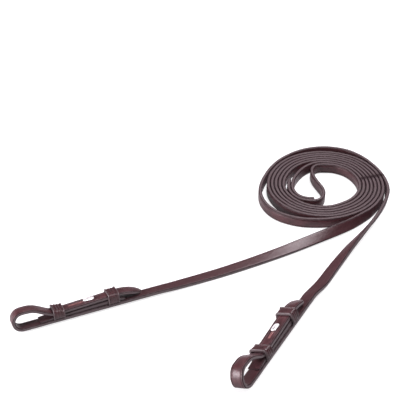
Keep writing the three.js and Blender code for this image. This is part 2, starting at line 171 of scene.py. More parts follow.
def place(side, points):
    """Points in the frame of a bit end, moved to the scene."""
    end = ENDS[side]
    a, roll, scale = math.radians(end["angle"]), math.radians(end["roll"]), end["scale"]
    points = np.asarray(points, float)
    x, y, z = points[..., 0], (points[..., 1] - END_W / 2) * scale, points[..., 2] * scale
    across = END_W / 2 + y * math.cos(roll) + z * math.sin(roll)
    up = -y * math.sin(roll) + z * math.cos(roll)
    return np.stack([end["nose"][0] + x * math.cos(a) - across * math.sin(a) - ORIGIN[0],
                     end["nose"][1] + x * math.sin(a) + across * math.cos(a) - ORIGIN[1],
                     up], -1)


def unplace(side, points):
    """Scene points, moved back to the frame of a bit end."""
    end = ENDS[side]
    a, roll, scale = math.radians(end["angle"]), math.radians(end["roll"]), end["scale"]
    x = points[:, 0] + ORIGIN[0] - end["nose"][0]
    y = points[:, 1] + ORIGIN[1] - end["nose"][1]
    z = points[:, 2]
    across = -x * math.sin(a) + y * math.cos(a) - END_W / 2
    return np.c_[x * math.cos(a) + y * math.sin(a),
                 (across * math.cos(roll) - z * math.sin(roll)) / scale + END_W / 2,
                 (across * math.sin(roll) + z * math.cos(roll)) / scale]


def axis(side, direction):
    """Scene vector of a direction in a bit end, as long as the end's scale makes it."""
    return place(side, direction) - place(side, (0, 0, 0))


# ------------------------------------------------------------------ paths of the reins
def lap_line(offset):
    """The lap curve moved sideways; a positive offset is towards the coil's centre."""
    points, _ = spline(LAP, 1.5)
    along = unit(np.gradient(points, axis=0))
    return [(x - dy * offset, y + dx * offset) for (x, y), (dx, dy) in zip(points, along)]


def upright(points):
    return [(x, y, 0, STRAP_W) for x, y in points]


def left_rows():
    """Stations x, y, lean, width from the bit end into the coil and along the lap."""
    middle = rolled_middle("left")
    rows = [(*end_point("left", HINGE_S + GAP / 2, middle), 90 + ENDS["left"]["roll"], END_W),
            (*end_point("left", 150, middle), 99.6, END_W),
            (*end_point("left", 160, middle * 0.7), 97, END_W)]
    rows += LEFT_APPROACH
    # lean and extra radius where the rein joins the coil, by degrees
    lean = {-48: 7, -42: 3}
    outward_shift = {-48: 1.1, -42: 0.5, -36: 0.15}
    for phi in range(-48, 1156, 6):
        radius = coil_radius(phi) - PITCH * 2 * phi / 360 + outward_shift.get(phi, 0)
        rows.append((*polar(radius, phi), lean.get(phi, 0), STRAP_W))
    return rows + upright(LEFT_TAIL) + upright(reversed(lap_line(-LAP_OFFSET)))


def right_rows():
    """Stations x, y, lean, width from the bit end, round the stand-off turn, to the lap."""
    middle, width = rolled_middle("right"), END_W * ENDS["right"]["scale"]
    flat = ENDS["right"]["roll"] - 90
    rows = [(*end_point("right", HINGE_S + GAP / 2, middle), flat, width),
            (*end_point("right", HINGE_S + 2, middle), flat, width),
            (*end_point("right", 151, -0.2), -70, width - 0.5),
            (*end_point("right", 160, -1.2), -76, width - 1)]
    rows += RIGHT_APPROACH
    for phi in range(-12, 271, 6):
        lean = -7 * ((24 - phi) / 36) ** 2 if phi < 24 else 0
        rows.append((*polar(radius_at(STANDOFF, phi), phi), lean, STRAP_W))
    for phi in range(282, 1153, 6):
        radius = coil_radius(phi) - PITCH * (2 * phi / 360 - 1)
        rows.append((*polar(radius, phi), 0, STRAP_W))
    return rows + upright(RIGHT_TAIL) + upright(lap_line(LAP_OFFSET))


# ------------------------------------------------------------------ mesh helpers
def outward(points, faces):
    """Faces turned so that the enclosed volume is positive."""
    volume = 0.0
    for face in faces:
        first = points[face[0]]
        for i in range(1, len(face) - 1):
            volume += np.dot(first, np.cross(points[face[i]], points[face[i + 1]]))
    return faces if volume > 0 else [tuple(reversed(face)) for face in faces]


def loft_faces(ring_count, size, first=0, closed=False):
    """Quads between successive rings; capped at both ends, or joined last to first."""
    faces = []
    for i in range(ring_count if closed else ring_count - 1):
        row, following = first + i * size, first + (i + 1) % ring_count * size
        for k in range(size):
            after = (k + 1) % size
            faces.append((row + k, row + after, following + after, following + k))
    if not closed:
        end = first + ring_count * size
        faces.append(tuple(reversed(range(first, first + size))))
        faces.append(tuple(range(end - size, end)))
    return faces


def make(name, points, faces, material, marks, uv=None, sharp_angle=40):
    """Object from millimetre points; marks are float attributes; no sharp angle means flat."""
    points = np.asarray(points, float)
    mesh = bpy.data.meshes.new(name)
    mesh.from_pydata((points / 1000).tolist(), [], outward(points, faces))
    mesh.validate()
    for mark, values in marks.items():
        attribute = mesh.attributes.new(mark, "FLOAT", "POINT")
        attribute.data.foreach_set("value", np.ascontiguousarray(values, np.float32))
    if uv is not None:
        layer = mesh.uv_layers.new(name="UVMap")
        corners = np.empty(len(mesh.loops), np.int32)
        mesh.loops.foreach_get("vertex_index", corners)
        layer.data.foreach_set("uv", np.asarray(uv, np.float32)[corners].ravel())
    mesh.materials.append(material)
    if sharp_angle is not None:
        mesh.polygons.foreach_set("use_smooth", [True] * len(mesh.polygons))
        mesh.set_sharp_from_angle(angle=math.radians(sharp_angle))
    ob = bpy.data.objects.new(name, mesh)
    bpy.context.scene.collection.objects.link(ob)
    return ob


def strap_profile(width, thickness):
    """Section of a burnished strap, counter-clockwise, as rows of u, v, edge, flesh, line.

    u is across and v through the strap. The grain side is at v > 0 and has a pressed crease
    inside each border.
    """
    a, b, q = width / 2, thickness / 2, thickness / STRAP_T
    radius = 1.05 * q
    flat_u, flat_v, crease = a - radius, b - radius, a - 1.95 * q
    rows = []

    def put(u, v, edge, flesh):
        # the line column is painted shade, full in the pressed crease and rising into the rounded
        # corners
        inside = min(max(0.0, abs(u) - flat_u), max(0.0, abs(v) - flat_v)) / radius
        pressed = 1.0 if v > b - 0.3 * q and abs(abs(u) - crease) < 0.2 * q else 0.0
        rows.append((u, v, edge, flesh, max(pressed, min(1.0, inside * 2.2))))

    def corner(u_sign, v_sign, start, edges, flesh):
        for k, edge in enumerate(edges, 1):
            angle = math.radians(start + 90 * k / 4)
            put(u_sign * flat_u + radius * math.cos(angle),
                v_sign * flat_v + radius * math.sin(angle), edge, flesh)

    def wall(sign, heights):
        for v, flesh in heights:
            put(sign * (a + (0.05 * q if v == 0 else 0)), v, 1, flesh)

    # grain side from the -u corner to the middle: u, height over the flat
    grain = [(-flat_u, 0), (-crease - 0.38 * q, 0.0), (-crease - 0.14 * q, -0.16 * q),
             (-crease + 0.14 * q, -0.16 * q), (-crease + 0.38 * q, 0.02),
             (-a * 0.38, 0.07 * q), (0, 0.09 * q)]
    for u, v in [(-u, v) for u, v in grain[:-1]] + grain[::-1]:
        put(u, b + v, 0.0, 0.0)
    rising, falling = (0.35, 0.8, 1), (1, 0.8, 0.35)
    corner(-1, 1, 90, rising, 0.0)
    wall(-1, ((flat_v, 0.0), (0, 0.25), (-flat_v, 0.5)))
    corner(-1, -1, 180, falling, 0.8)
    for u in (-flat_u, -a * 0.4, 0, a * 0.4, flat_u):
        put(u, -b, 0.0, 1.0)
    corner(1, -1, 270, rising, 0.8)
    wall(1, ((-flat_v, 0.5), (0, 0.25), (flat_v, 0.0)))
    corner(1, 1, 0, falling, 0.0)
    return np.array(rows)


def sweep(centres, across, grain, width, thickness, arc, end_round=0.0):
    """Strap sections along the centres; across and grain are the section's u and v axes.

    With end_round, the last rings step in from the rim of the far end and back into it.
    """
    width, thickness = (np.broadcast_to(v, len(centres)).astype(float) for v in (width, thickness))
    along = unit(np.gradient(centres, axis=0))
    rings, marks, uvs = [], [], []

    def ring(i, shrink=0.0, push=0.0):
        profile = strap_profile(width[i], thickness[i])
        section = profile[:, :2]
        if shrink:
            section = section * ((width[i] - 2 * shrink) / width[i],
                                 (thickness[i] - 2 * shrink) / thickness[i])
            profile[:, 2] = 1.0
        rings.append(centres[i] + along[i] * push
                     + section[:, :1] * across[i] + section[:, 1:] * grain[i])
        marks.append(profile[:, 2:])
        girth = np.r_[0, np.cumsum(np.linalg.norm(np.diff(section, axis=0), axis=1))]
        uvs.append(np.c_[np.full(len(section), (arc[i] + push) / UV_MM), girth / UV_MM])

    stop = len(centres)
    if end_round:
        while arc[-1] - arc[stop - 1] < end_round * 1.05:
            stop -= 1
    for i in range(stop):
        ring(i)
    if end_round:
        for angle in np.radians((20, 50, 80)):
            ring(len(centres) - 1, end_round * math.sin(angle), -end_round * (1 - math.cos(angle)))
    edge, flesh, line = np.concatenate(marks).T
    return (np.concatenate(rings), loft_faces(len(rings), len(rings[0])),
            {"edge": edge, "flesh": flesh, "line": line}, np.concatenate(uvs))


def sweep_end(side, stations, arc, width, thickness):
    """Strap along stations (s, z) in the upright mid-plane of a bit end."""
    d = unit(np.gradient(stations[:, :2], axis=0))
    zero = np.zeros(len(stations))
    points, *rest = sweep(np.c_[stations[:, 0], zero, stations[:, 1]],
                          np.tile((0.0, 1.0, 0.0), (len(stations), 1)),
                          np.c_[-d[:, 1], zero, d[:, 0]], width, thickness, arc)
    return place(side, points), *rest


# ------------------------------------------------------------------ materials
class Nodes:
    """Short calls for building a node tree; inputs may be values or sockets to link."""

    def __init__(self, tree):
        self.tree = tree

    def fill(self, node, inputs):
        for key, value in inputs.items():
            if isinstance(value, bpy.types.NodeSocket):
                self.tree.links.new(value, node.inputs[key])
            else:
                node.inputs[key].default_value = value

    def add(self, kind, inputs=None, **settings):
        node = self.tree.nodes.new("ShaderNode" + kind)
        for key, value in settings.items():
            setattr(node, key, value)
        self.fill(node, inputs or {})
        return node

    def attribute(self, name):
        return self.add("Attribute", attribute_name=name).outputs["Fac"]

    def mapped(self, vector, **inputs):
        return self.add("Mapping", {0: vector, **inputs}).outputs[0]

    def noise(self, vector, stretch, **inputs):
        vector = self.mapped(vector, Scale=stretch)
        return self.add("TexNoise", {"Vector": vector, **inputs}).outputs["Fac"]

    def mix(self, factor, a, b):
        a, b = ((*c, 1) if isinstance(c, tuple) else c for c in (a, b))
        return self.add("Mix", {0: factor, 6: a, 7: b}, data_type="RGBA").outputs[2]

    def calc(self, operation, a, b, clamp=False):
        return self.add("Math", {0: a, 1: b}, operation=operation, use_clamp=clamp).outputs[0]

    def remap(self, value, low, high, to_low=0.0, to_high=1.0, **settings):
        inputs = {0: value, 1: low, 2: high, 3: to_low, 4: to_high}
        return self.add("MapRange", inputs, **settings).outputs[0]

    def bump(self, height, strength, distance, **inputs):
        inputs = {"Height": height, "Strength": strength, "Distance": distance, **inputs}
        return self.add("Bump", inputs).outputs[0]


def new_material(name):
    material = bpy.data.materials.new(name)
    material.use_nodes = True
    material.node_tree.nodes.clear()
    nodes = Nodes(material.node_tree)
    output = nodes.add("OutputMaterial")
    surface = nodes.add("BsdfPrincipled")
    nodes.fill(output, {0: surface.outputs[0]})
    return material, nodes, surface


DARK, LIGHT = (0.023, 0.0068, 0.0082), (0.050, 0.0150, 0.0178)
EDGE, FLESH = (0.061, 0.0475, 0.0495), (0.030, 0.0095, 0.0115)
# the first colour of the next line is painted shade for creases and corners, and also colours the
# dark streak
SHADE_AND_STREAK_COLOR, RAW = (0.010, 0.0045, 0.0055), (0.25, 0.115, 0.11)
EDGE_WEAR = 1.35                       # how much lighter the rubbed parts of an edge are


def shade(color, factor):
    return tuple(c * factor for c in color)


def leather(name, roughness, coat, grain=1.0, dark=1.0, light=1.0, edge=1.0):
    """Dyed leather; dark, light and edge scale the shared colours, grain scales the relief."""
    dark, light, edge = shade(DARK, dark), shade(LIGHT, light), shade(EDGE, edge)
    material, nodes, surface = new_material(name)
    calc, mix, remap = nodes.calc, nodes.mix, nodes.remap
    # texture space in millimetres: along the strap, across it
    mm = nodes.mapped(nodes.add("UVMap").outputs[0], Scale=(UV_MM,) * 3)

    def noise(scale, detail, roughness=0.55, stretch=(1, 1, 1)):
        return nodes.noise(mm, stretch, Scale=scale, Detail=detail, Roughness=roughness)

    # slow dye variation, mottling drawn along the strap, fine specks
    broad = noise(scale=0.045, detail=3.0)
    mottle = noise(scale=0.45, detail=5.0, roughness=0.6, stretch=(0.5, 1, 1))
    fine = noise(scale=2.6, detail=3.0, roughness=0.65)
    color = mix(remap(broad, 0.35, 0.68), dark, light)
    color = mix(calc("MULTIPLY", remap(mottle, 0.45, 0.75), 0.6), color, shade(light, 1.8))
    specks = remap(fine, 0.35, 0.6, to_low=1.0, to_high=0.0)
    color = mix(calc("MULTIPLY", specks, 0.2), color, shade(dark, 0.55))
    flesh_mark = nodes.attribute("flesh")
    patchy = remap(mottle, 0.35, 0.7, to_low=0.9, to_high=0.55)
    color = mix(calc("MULTIPLY", flesh_mark, patchy), color, FLESH)

    # burnished, rubbed cut edge
    edge_mark = nodes.attribute("edge")
    erosion = noise(scale=0.9, detail=5.0, roughness=0.6, stretch=(0.35, 1, 1))
    erosion = remap(erosion, 0.3, 0.62, to_low=0.55, to_high=1.0)
    rubbing = noise(scale=1.6, detail=4.0, roughness=0.6, stretch=(0.25, 1.6, 1))
    worn = tuple(min(1, c) for c in shade(edge, EDGE_WEAR))
    edge_color = mix(remap(rubbing, 0.38, 0.66), edge, worn)
    color = mix(calc("MULTIPLY", edge_mark, erosion, clamp=True), color, edge_color)

    # painted shade in the creases and at the corners, and the dark streak, then the pale cut inside
    # the slit
    shade_and_streak_mark = nodes.attribute("line")
    breaks = noise(scale=0.7, detail=3.0, roughness=0.5, stretch=(0.3, 1, 1))
    breaks = remap(breaks, 0.25, 0.6, to_low=0.55, to_high=0.95)
    shade_and_streak = calc("MULTIPLY", shade_and_streak_mark, breaks, clamp=True)
    color = mix(shade_and_streak, color, SHADE_AND_STREAK_COLOR)
    color = mix(calc("POWER", nodes.attribute("raw"), 3.6, clamp=True), color, RAW)

    # roughness follows the mottling and rises on flesh, edge and line
    rough = remap(mottle, 0.3, 0.7, to_low=roughness - 0.06, to_high=roughness + 0.08)
    for mark, extra in ((flesh_mark, 0.04), (edge_mark, 0.05), (shade_and_streak_mark, 0.2)):
        rough = calc("ADD", rough, calc("MULTIPLY", mark, extra))
    # specular and coat fade where the painted shade and the streak are
    bare = calc("SUBTRACT", 1.0, calc("MULTIPLY", shade_and_streak, 0.9), clamp=True)

    # relief: grain cells and pores, fibres drawn along the cut edge, and a slow swell
    voronoi = nodes.add("TexVoronoi", {"Vector": nodes.mapped(mm, Scale=(0.8, 1.0, 1.0)),
                                       "Scale": 1.9}, feature="DISTANCE_TO_EDGE")
    cells = remap(voronoi.outputs["Distance"], 0.0, 0.12)
    pores = remap(noise(scale=5.2, detail=2.0), 0.3, 0.5)
    fibre = noise(scale=2.2, detail=3.0, roughness=0.6, stretch=(0.18, 2.4, 1))
    skin = calc("ADD", calc("MULTIPLY", cells, 0.55), calc("MULTIPLY", pores, 0.45))
    off_edge = calc("SUBTRACT", 1.0, edge_mark, clamp=True)
    height = calc("ADD", calc("MULTIPLY", skin, off_edge),
                  calc("MULTIPLY", fibre, calc("MULTIPLY", edge_mark, 1.2)))
    relief = nodes.bump(height, strength=0.32 * grain, distance=0.00011)
    swell = noise(scale=0.22, detail=3.0, roughness=0.5, stretch=(0.7, 1, 1))
    relief = nodes.bump(swell, strength=0.35 * grain, distance=0.0004, Normal=relief)

    nodes.fill(surface, {
        "Base Color": color, "Roughness": rough,
        "Specular IOR Level": calc("MULTIPLY", bare, 0.5),
        "Coat Weight": calc("MULTIPLY", bare, coat), "Coat Roughness": 0.28,
        "Sheen Weight": 0.06, "Sheen Roughness": 0.45, "Sheen Tint": (0.85, 0.68, 0.74, 1),
        "Normal": relief, "Coat Normal": relief})
    return material


def waxed_thread():
    """Thread with slanting bands for its twist."""
    material, nodes, surface = new_material("waxed_thread")
    twist = nodes.mapped(nodes.add("UVMap").outputs[0], Scale=(UV_MM, UV_MM, 1),
                         Rotation=(0, 0, math.radians(38)))
    wave = nodes.add("TexWave", {"Vector": twist, "Scale": 1.3, "Distortion": 0.6}).outputs["Fac"]
    nodes.fill(surface, {
        "Base Color": nodes.mix(wave, (0.030, 0.014, 0.013), (0.085, 0.050, 0.045)),
        "Roughness": 0.5, "Normal": nodes.bump(wave, strength=0.6, distance=0.00008)})
    return material


def polished_steel():
    """Steel with fine stretched scratches; where the edge attribute is set, painted shade darkens
    the pit in the plate.
    """
    material, nodes, surface = new_material("polished_steel")
    scratches = nodes.noise(nodes.add("TexCoord").outputs["Object"], (900, 5000, 900),
                            Scale=1.0, Detail=3.0)
    color = nodes.mix(nodes.attribute("edge"), (0.93, 0.92, 0.92), (0.05, 0.045, 0.045))
    nodes.fill(surface, {
        "Base Color": color, "Metallic": 0.55,
        "Roughness": nodes.remap(scratches, 0.0, 1.0, to_low=0.22, to_high=0.36),
        "Normal": nodes.bump(scratches, strength=0.03, distance=0.00003)})
    return material


REIN_LEATHER = leather("bridle_leather_rein", roughness=0.32, coat=0.12)
LOOP_LEATHER = leather("bridle_leather_loop", roughness=0.37, coat=0.15)
BILLET_LEATHER = leather("bridle_leather_billet", roughness=0.33, coat=0.18)
LINING_LEATHER = leather("bridle_leather_lining", roughness=0.45, coat=0.1,
                         dark=0.8, light=0.8, edge=0.75)
KEEPER_LEATHER = leather("bridle_leather_keeper", roughness=0.40, coat=0.2, grain=0.3,
                         dark=0.75, light=0.85, edge=0.95)
THREAD, STEEL = waxed_thread(), polished_steel()


# ------------------------------------------------------------------ reins
# dark streak over the tops of the turns, right of the centre: plan ends, reach, lowest z
STREAK_FROM, STREAK_TO, STREAK_REACH, STREAK_ABOVE = np.array([44.7, 11.3]), np.array([76.0, 21.9]), 2.6, 8


def dark_streak(points):
    line = STREAK_TO - STREAK_FROM
    offset = points[:, :2] + ORIGIN - STREAK_FROM
    u = np.clip(offset @ line / np.dot(line, line), 0, 1)
    distance = np.linalg.norm(offset - u[:, None] * line, axis=1)
    return 1.3 * np.exp(-(distance / STREAK_REACH) ** 2) * (points[:, 2] > STREAK_ABOVE)


def build_rein(side, rows):
    scale = ENDS[side]["scale"]
    stations, arc = spline(rows, 2.4)
    d = unit(np.gradient(stations[:, :2], axis=0))
    normal = np.c_[-d[:, 1], d[:, 0]]
    lean = np.radians(stations[:, 2])
    c, s = np.cos(lean), np.sin(lean)
    width = stations[:, 3]
    thickness = STRAP_T * width / STRAP_W
    z = width / 2 * np.abs(c) + thickness / 2 * np.abs(s)      # lowest edge on the floor
    # the straight end, from under the loop keeper to the bend line
    straight = np.linspace(JOIN_S, HINGE_S - 1.5, 42)
    count = len(straight)
    end_centres = place(side, np.c_[straight, np.zeros(count), np.full(count, STRAP_T / 2)])
    # grain side: down at both bit ends, inwards in the coil on the left rein, outwards on the right
    turn = -1 if side == "left" else 1
    centres = np.r_[end_centres, np.c_[stations[:, :2] - ORIGIN, z]]
    across = np.r_[np.tile(-unit(axis(side, (0, 1, 0))), (count, 1)),
                   np.c_[s[:, None] * normal, c] * turn]
    grain = np.r_[np.tile(-unit(axis(side, (0, 0, 1))), (count, 1)),
                  np.c_[-c[:, None] * normal, s] * turn]
    width = np.r_[np.full(count, END_W * scale), width]
    thickness = np.r_[np.full(count, STRAP_T * scale), thickness]
    arc = np.r_[straight - HINGE_S, arc]
    # a small, slow unevenness in height, as hand-cut leather has
    phase = 1.3 if side == "left" else 0.2
    wave = np.sin(arc * 0.071 + phase) * 0.5 + np.sin(arc * 0.023 + 0.7) * 0.5
    centres[:, 2] += (0.16 + 0.16 * wave) * np.clip((arc - 40) / 120, 0, 1)
    points, faces, marks, uv = sweep(centres, across, grain, width, thickness, arc, end_round=0.8)
    # a dark streak across the tops of the turns joins the painted shade of creases and corners in
    # the line mark
    marks["line"] = np.maximum(marks["line"], dark_streak(points))
    ob = make(f"{side}_rein_strap", points, faces, REIN_LEATHER, marks, uv)
    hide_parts(f"{side}_rein", f"{side}_rein_end")
    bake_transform(ob)


# ------------------------------------------------------------------ loops
# centre line s, z: bottom run out to the bend, and top run back under the keeper
LOOP_BOTTOM = [(JOIN_S, STRAP_T / 2), (41.0, STRAP_T / 2 - 0.02), (34.0, 1.80), (28.0, 1.68),
               (23.5, END_T / 2), (17.0, END_T / 2)]
LOOP_TOP = [(12.2, 19.15), (15.2, 19.0), (18.6, 18.35), (22, 17.1), (25.4, 15.35), (28.6, 13.45),
            (31.5, 11.75), (34.2, 10.4), (37.0, 9.4), (40.0, 8.78)]


def loop_rows(end):
    low = END_T / 2
    s, z = end["bend_front"] + low + LOOP_R, low + LOOP_R      # centre of the bend
    rows = LOOP_BOTTOM + [(s + 1.6, low), (s, low)]
    for k in range(1, 14):
        a = -math.pi / 2 - k / 14 * math.pi
        foot = end["foot"] * (1 - math.sin(a)) / 2 * min(1, k / 4)
        rows.append((s + LOOP_R * math.cos(a) - foot, z + LOOP_R * math.sin(a)))
    return rows + [(s, z + LOOP_R)] + LOOP_TOP


def build_loop(side):
    stations, arc = spline(loop_rows(ENDS[side]), 0.9)
    thickness = np.interp(arc, [0, 3, 14], [STRAP_T, STRAP_T, END_T])
    points, faces, marks, uv = sweep_end(side, stations, arc + 300, END_W, thickness)
    ob = make(f"{side}_loop_strap", points, faces, LOOP_LEATHER, marks, uv)
    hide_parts(f"{side}_bit_loop")
    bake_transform(ob)


# ------------------------------------------------------------------ billets
SLIT_HALF, HOLE_R = 0.46, 1.6          # half width of the slit, radius of its round hole
LIP_RISE = 0.28


def billet_z(s):
    """Height of the billet's centre line."""
    return BILLET_Z0 + (s - BILLET_START) * BILLET_SLOPE


def build_billet(side):
    rows = [(s, billet_z(s)) for s in (40.06, *range(44, 105, 6))]
    for k in range(1, 15):
        u = k / 14
        s = TIP_S + TIP_LEN * u
        z = billet_z(TIP_S) + BILLET_SLOPE * (s - TIP_S) * (1 - u) - 5.4 * u ** 1.7
        rows.append((s, z))
    stations, arc = spline(rows, 0.75)
    u = np.clip((stations[:, 0] - TIP_S) / TIP_LEN, 0, 1)
    narrowing = np.maximum(0, (u - 0.52) / 0.48)
    width = END_W * np.sqrt(np.maximum(0.015, 1 - 0.985 * narrowing ** 2.05))
    thickness = END_T * (1 - 0.12 * u ** 2)
    points, faces, marks, uv = sweep_end(side, stations, arc + 200, width, thickness)
    ob = make(f"{side}_billet_strap", points, faces, BILLET_LEATHER, marks, uv)
    cut_keyhole(side, ob)
    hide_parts(f"{side}_billet", f"{side}_billet_tip")
    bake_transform(ob)


def keyhole_outline(slit_end):
    """Round hole at the stud's neck and a narrow slit from it towards the loop: s, y."""
    outline = []
    for k in range(19):
        x, y = polar(HOLE_R, -150 + 300 * k / 18)
        outline.append((STUD_S + x, y))
    mouth = STUD_S - HOLE_R * 0.95 - 0.4
    outline.append((mouth, SLIT_HALF))
    for k in range(7):
        a = math.radians(90 + 180 * k / 6)
        outline.append((slit_end + SLIT_HALF * 0.6 + SLIT_HALF * 0.6 * math.cos(a),
                        SLIT_HALF * math.sin(a) * (0.55 if 0 < k < 6 else 0.6)))
    outline.append((mouth, -SLIT_HALF))
    return np.array(outline)


def cut_keyhole(side, ob):
    """Cuts the keyhole through the billet, then marks its walls and lifts its lips."""
    slit_end = STUD_S - ENDS[side]["slit"]
    outline = keyhole_outline(slit_end)
    n = len(outline)
    points = place(side, np.r_[np.c_[outline, np.full(n, 5.0)], np.c_[outline, np.full(n, 15.0)]])
    faces = loft_faces(2, n)
    marks = {"edge": np.ones(2 * n), "flesh": np.zeros(2 * n), "line": np.zeros(2 * n)}
    # the caps come first in the cutter, which settles the vertex order of the cut
    cutter = make(f"{side}_cutter", points, faces[-2:] + faces[:-2], BILLET_LEATHER, marks,
                  np.r_[outline, outline] / UV_MM, sharp_angle=None)
    modifier = ob.modifiers.new("slit", "BOOLEAN")
    modifier.operation, modifier.solver, modifier.object = "DIFFERENCE", "EXACT", cutter
    depsgraph = bpy.context.evaluated_depsgraph_get()
    mesh = bpy.data.meshes.new_from_object(ob.evaluated_get(depsgraph),
                                           preserve_all_data_layers=True, depsgraph=depsgraph)
    ob.modifiers.clear()
    old = ob.data
    ob.data = mesh
    mesh.name = old.name
    bpy.data.objects.remove(cutter)

    # the round hole is a burnished edge, the slit raw leather
    s, y, z = unplace(side, np.array([v.co for v in mesh.vertices]) * 1000).T
    near = (s > slit_end - 0.3) & (s < STUD_S + HOLE_R + 0.3) & (np.abs(y) < HOLE_R + 0.25)
    raw = (s > slit_end - 0.3) & (s < STUD_S) & (np.abs(y) < 0.75)
    mesh.attributes.new("raw", "FLOAT", "POINT").data.foreach_set("value", raw.astype(np.float32))
    for mark, hole_value in (("edge", 1.0), ("line", 0.0)):
        values = np.empty(len(mesh.vertices), np.float32)
        mesh.attributes[mark].data.foreach_get("value", values)
        values[near] = hole_value
        values[raw] = 0.0
        mesh.attributes[mark].data.foreach_set("value", values)

    # the stud has pushed the lips of the keyhole up a little
    up = axis(side, (0, 0, 1))
    for i in np.flatnonzero(near & (z > billet_z(s) + 1.2)):
        u = min(1, max(0, (s[i] - slit_end) / (STUD_S - slit_end + HOLE_R)))
        rise = LIP_RISE * math.sin(math.pi * u) ** 0.5
        vertex = mesh.vertices[i]
        vertex.co = [c + float(d) * rise / 1000 for c, d in zip(vertex.co, up)]
    mesh.set_sharp_from_angle(angle=math.radians(40))


# ------------------------------------------------------------------ linings
def lining_top(s):
    """Top of the lining: thin at the loop, close under the billet, rounded down at the far end."""
    full = billet_z(s) - END_T / 2 - 0.42
    thin = 4.75
    u = np.clip((s - LINING_START) / 12.5, 0, 1)
    drop = 3.4 * np.clip(1 - (LINING_END - s) / 7.5, 0, 1) ** 1.4
    return thin + (full - thin) * u ** 1.3 - drop


def build_lining(side):
    s = np.arange(LINING_START, LINING_END + 1, 1.0)
    top, bottom = lining_top(s), np.full(len(s), LINING_Z - 0.12)
    for middle in KEEPER_S.values():                   # room for the keepers to pass underneath
        bottom[np.abs(s - middle) < KEEPER_L / 2 + 0.3] = 5.05
    half = LINING_HALF - 2.0 * np.clip(1 - (LINING_END - s) / 3.5, 0, 1) ** 2
    points, faces, marks, uv = sweep(
        np.c_[s, np.zeros(len(s)), (top + bottom) / 2], np.tile((0.0, 1.0, 0.0), (len(s), 1)),
        np.tile((0.0, 0.0, 1.0), (len(s), 1)), 2 * half, top - bottom, s + 500)
    ob = make(f"{side}_lining_strip", place(side, points), faces, LINING_LEATHER, marks, uv)
    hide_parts(f"{side}_lining")
    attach(ob, f"{side}_bit_end")


# ------------------------------------------------------------------ keepers
# rounded rim of the band: distance from its border, share of the full thickness
RIM = np.array([(0, 0.72), (0.06, 0.86), (0.22, 0.98), (0.5, 1.04), (0.85, 1.0), (1.15, 0.88),
                (1.4, 0.72), (1.6, 0.66)])


def keeper_path(top):
    """Inside outline of the band, y and z, with its outward normals."""
    half, bottom, radius = KEEPER_HALF, KEEPER_BOTTOM, 0.9
    path, normals = [], []

    def line(start, end, count, normal):
        for i in range(count):
            u = i / count
            path.append((start[0] + (end[0] - start[0]) * u, start[1] + (end[1] - start[1]) * u))
            normals.append(normal)

    def corner(y, z, start):
        for i in range(7):
            a = math.radians(start + 90 * i / 7)
            path.append((y + radius * math.cos(a), z + radius * math.sin(a)))
            normals.append((math.cos(a), math.sin(a)))

    line((half, bottom), (half, top - radius), 8, (1, 0))
    corner(half - radius, top - radius, 0)
    line((half - radius, top), (-half + radius, top), 14, (0, 1))
    corner(-half + radius, top - radius, 90)
    line((-half, top - radius), (-half, bottom), 8, (-1, 0))
    line((-half, bottom), (half, bottom), 12, (0, -1))
    return np.array(path), np.array(normals, float)


